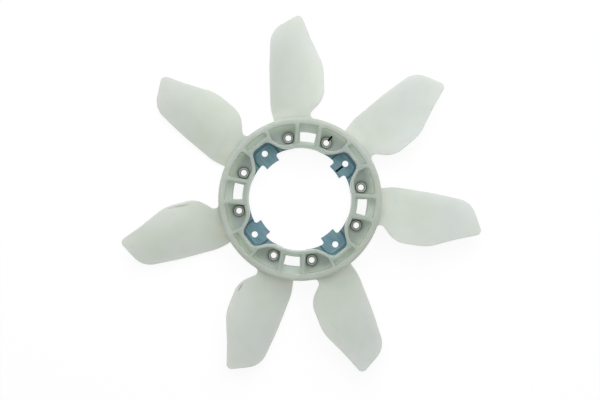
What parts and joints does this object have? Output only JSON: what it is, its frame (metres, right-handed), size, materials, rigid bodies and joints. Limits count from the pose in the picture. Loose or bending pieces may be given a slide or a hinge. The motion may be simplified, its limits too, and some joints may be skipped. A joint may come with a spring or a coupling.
{
  "type": "axial fan impeller",
  "caption": "Axial engine cooling fan wheel: plastic blades on a ribbed hub ring, with riveted steel brackets that bolt to a fan clutch.",
  "frame": {"origin": "on the fan axis, in the plane of the bracket pads' rear faces, at the centre of the bolt circle", "axes": "+Z along the fan axis, out of the pocketed front of the hub"},
  "size_m": [0.401, 0.3974, 0.038],
  "materials": {
    "moulding": "natural uncoloured plastic, slightly translucent, satin",
    "plated_bracket": "pressed steel sheet, blue-grey zinc plating",
    "rivet_steel": "plated steel, rolled over"
  },
  "bodies": {
    "root": {"fan_moulding": "moulding", "bracket_1": "plated_bracket", "bracket_2": "plated_bracket", "bracket_3": "plated_bracket", "bracket_4": "plated_bracket", "rivet_1": "rivet_steel", "rivet_2": "rivet_steel", "rivet_3": "rivet_steel", "rivet_4": "rivet_steel", "rivet_5": "rivet_steel", "rivet_6": "rivet_steel", "rivet_7": "rivet_steel", "rivet_8": "rivet_steel"}
  },
  "joints": []
}
